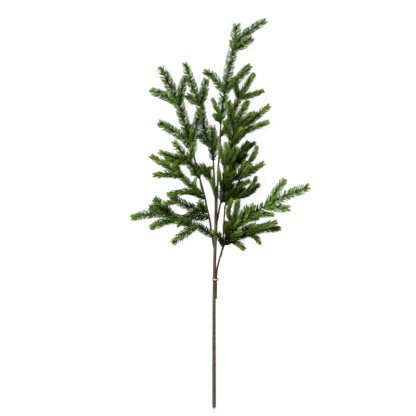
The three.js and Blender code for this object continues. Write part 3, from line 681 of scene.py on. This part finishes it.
NEEDLE_GREEN = green_plastic()
random = np.random.default_rng(NEEDLE_SEED)
for name, tone, twigs in SPRIGS:
    parts = []
    for twig_number, (reach, route) in enumerate(twigs):
        points, places = curve_through(route, TWIG_SPACING)
        axis = points[places <= places[-1] - TIP_NEEDLES]
        taper = TWIG_RADIUS * np.linspace(1, TWIG_TAPER, len(axis))[:, None]
        around = np.linspace(0, 2 * np.pi, TWIG_SIDES, endpoint=False)
        angles = np.broadcast_to(around, (len(axis), TWIG_SIDES))
        vertices, faces = tube(axis, np.broadcast_to(taper, angles.shape), angles)
        none, whole = np.zeros(len(vertices)), np.ones(len(vertices))
        parts.append((vertices, faces, none, none, whole, whole))
        vertices, faces, along, vary, outward = needles_along(points, places, reach, random)
        if twig_number > 0:
            outward = SIDE_TWIG_START + (1 - SIDE_TWIG_START) * outward
        # Painted light and shade along the sprig: darker towards its base, lighter towards the ends of its
        # twigs.
        light = np.interp(outward**PAINTED_LIGHT_POWER, [0, 1], PAINTED_LIGHT_BY_SPRIG[name])
        parts.append((vertices, faces, along, vary, light, np.zeros(len(vertices))))
    offsets = np.cumsum([0] + [len(part[0]) for part in parts])
    faces = np.concatenate([part[1] + offset for part, offset in zip(parts, offsets)])
    vertices, _, along, vary, light, twig = (np.concatenate(column) for column in zip(*parts))
    sprig = make_piece(
        name + "_needles",
        vertices,
        faces,
        NEEDLE_GREEN,
        smooth=False,
        along=along,
        vary=vary,
        light=light,
        twig=twig,
        tone=np.full(len(vertices), tone),
    )
    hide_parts(name)

# The table: a wide white sheet that the spray lies on. It glows to the camera, so that it stays a clean
# white, and throws only a little light back up at the spray.
TABLE_HALF = 20.0  # metres
TABLE_COLOUR = (0.3, 0.3, 0.3, 1)  # with the glow, a full white to the camera
TABLE_GLOW = 0.9
TABLE_BOUNCE = (0.25, 0.25, 0.25, 1)  # what the table throws back up at the spray
sheet_mesh = bpy.data.meshes.new("table")
corners = [(TABLE_HALF * x, TABLE_HALF * y, 0) for x, y in ((-1, -1), (1, -1), (1, 1), (-1, 1))]
sheet_mesh.from_pydata(corners, [], [(0, 1, 2, 3)])
table = bpy.data.objects.new("table", sheet_mesh)
bpy.context.collection.objects.link(table)
table_white, table_tree, table_shader = make_material("white table", 0.9)
table_shader.inputs["Base Color"].default_value = TABLE_COLOUR
table_shader.inputs["Emission Color"].default_value = (1, 1, 1, 1)
table_shader.inputs["Emission Strength"].default_value = TABLE_GLOW
dull = add_node(table_tree, "ShaderNodeBsdfDiffuse", {"Color": TABLE_BOUNCE}).outputs[0]
seen = add_node(table_tree, "ShaderNodeLightPath").outputs["Is Camera Ray"]
either = add_node(table_tree, "ShaderNodeMixShader", {0: seen, 1: dull, 2: table_shader.outputs[0]})
table_tree.links.new(either.outputs[0], table_tree.nodes["Material Output"].inputs["Surface"])
sheet_mesh.materials.append(table_white)

# The light: an even white room, and a soft lamp high on the upper left, which gives the needles their light
# and shade.
ROOM_STRENGTH = 0.3
KEY_AT, KEY_SIZE, KEY_POWER = (-1.4, 0.9, 2.8), 0.8, 170  # metres and watts
world = bpy.data.worlds.new("bright room")
world.use_nodes = True
world.node_tree.nodes["Background"].inputs["Color"].default_value = (1, 1, 1, 1)
world.node_tree.nodes["Background"].inputs["Strength"].default_value = ROOM_STRENGTH
bpy.context.scene.world = world
lamp = bpy.data.lights.new("soft lamp", "AREA")
lamp.size = KEY_SIZE
lamp.energy = KEY_POWER
key = bpy.data.objects.new("soft lamp", lamp)
key.location = KEY_AT
lean = math.atan2(math.hypot(KEY_AT[0], KEY_AT[1]), KEY_AT[2])
key.rotation_euler = (lean, 0, math.atan2(-KEY_AT[0], KEY_AT[1]) + math.pi)
bpy.context.collection.objects.link(key)

# The camera: straight above the middle of the picture, far off with a long lens.
PICTURE_SIDE = 416  # columns and rows of the grid that the picture takes in
CAMERA_HEIGHT = 25.0  # metres
PICTURE_LEVEL = 0.045  # metres, where the picture's scale is true
camera_data = bpy.data.cameras.new("camera")
camera = bpy.data.objects.new("camera", camera_data)
camera.location = (
    (PICTURE_SIDE / 2 - MIDDLE_COLUMN) * GRID_STEP / METRE,
    (MIDDLE_ROW - PICTURE_SIDE / 2) * GRID_STEP / METRE,
    CAMERA_HEIGHT,
)
picture_width = PICTURE_SIDE * GRID_STEP / METRE
camera_data.lens = camera_data.sensor_width * (CAMERA_HEIGHT - PICTURE_LEVEL) / picture_width
camera_data.clip_end = 100
bpy.context.collection.objects.link(camera)
bpy.context.scene.camera = camera
bpy.context.scene.view_settings.view_transform = "Standard"
